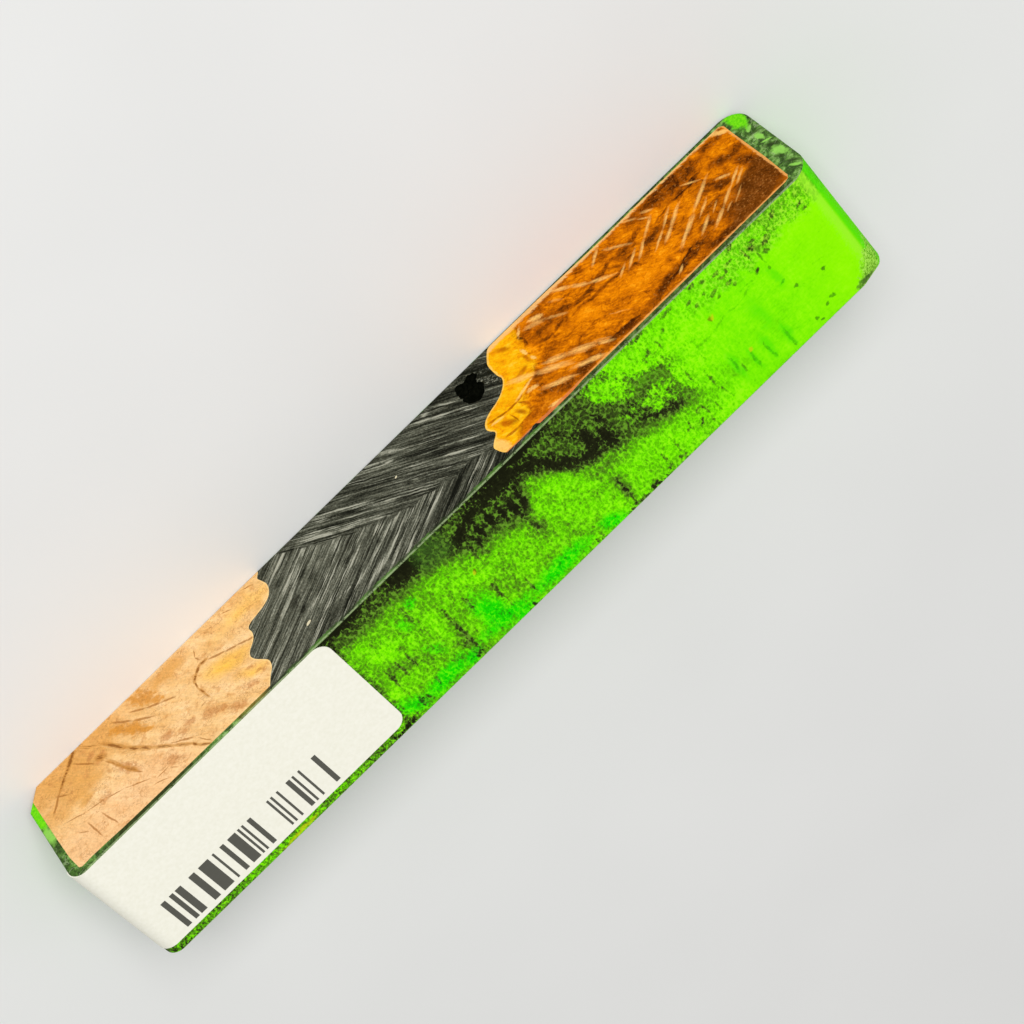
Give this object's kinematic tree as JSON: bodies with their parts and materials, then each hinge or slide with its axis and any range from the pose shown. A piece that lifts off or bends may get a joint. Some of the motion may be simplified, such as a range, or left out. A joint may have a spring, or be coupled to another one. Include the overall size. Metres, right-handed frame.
{
  "type": "burl and resin hybrid pen blank",
  "caption": "Square bar for turning pens: pale and orange burl with natural edges, cast in green and black resin, with a bare paper label folded over an end.",
  "frame": {"origin": "middle of the lower side, on the surface that the blank lies on", "axes": "+X along the bar, towards the pale burl and the label; -Y out of the sanded side that shows the wood; +Z out of the green side with the label"},
  "size_m": [0.129, 0.0208, 0.0197],
  "materials": {
    "swirled_resin": "satin, as sanded; opaque vivid green with black swirls, grey-black on the sanded side",
    "pale_burl_wood": "sanded bare pale burl with brown cracks",
    "orange_burl_wood": "sanded bare orange-brown burl with yellow sapwood",
    "label_paper": "matt off-white label paper, bare"
  },
  "bodies": {
    "root": {"resin_casting": "swirled_resin", "pale_burl": "pale_burl_wood", "orange_burl": "orange_burl_wood", "paper_label": "label_paper"}
  },
  "joints": []
}
